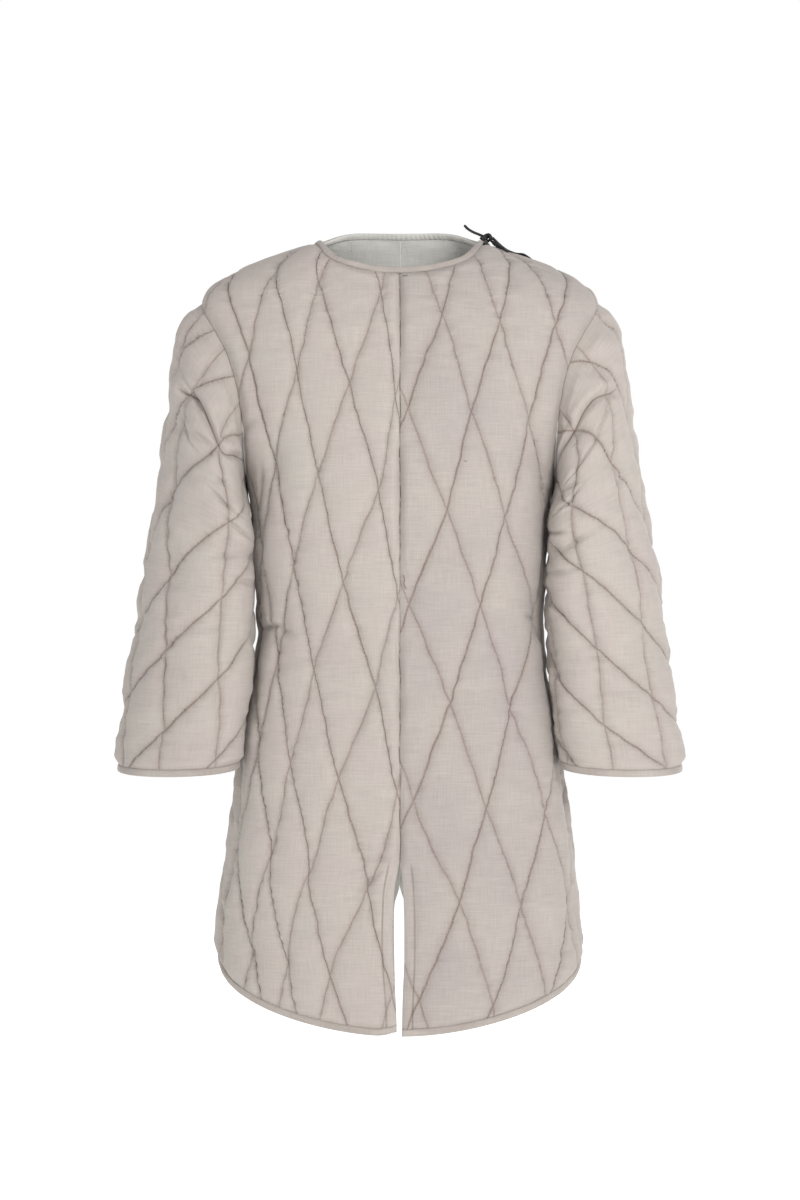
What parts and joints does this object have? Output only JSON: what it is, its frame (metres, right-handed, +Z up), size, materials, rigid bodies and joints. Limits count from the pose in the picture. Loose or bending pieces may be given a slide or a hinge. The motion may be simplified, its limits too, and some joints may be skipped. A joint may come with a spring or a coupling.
{
  "type": "gambeson",
  "caption": "Thigh-length quilted gambeson with wide sleeves, bound round neck, curved hem, riding slits and a laced shoulder, filled out as worn.",
  "frame": {"origin": "midway between the two high shoulder points, where the wearer's shoulders carry the garment", "axes": "+Z up, the front faces -Y, the wearer's right is -X"},
  "size_m": [0.72, 0.2928, 1.0429],
  "materials": {
    "quilted_cotton": "plain-woven cotton, matt",
    "quilted_cotton_pink_cast": "plain-woven cotton, matt",
    "binding_cotton": "cotton strip, matt",
    "black_lace": "braided cord, slight sheen"
  },
  "bodies": {
    "root": {"front_right": "quilted_cotton", "front_left": "quilted_cotton_pink_cast", "back_right": "quilted_cotton", "back_left": "quilted_cotton_pink_cast", "sleeve_right": "quilted_cotton", "sleeve_left": "quilted_cotton", "neck_binding": "binding_cotton", "hem_binding_right": "binding_cotton", "hem_binding_left": "binding_cotton", "cuff_binding_right": "binding_cotton", "cuff_binding_left": "binding_cotton", "lace_knot": "black_lace", "lace_loop": "black_lace", "lace_tail_neck": "black_lace", "lace_tail_short": "black_lace", "lace_tail_long": "black_lace"}
  },
  "joints": []
}
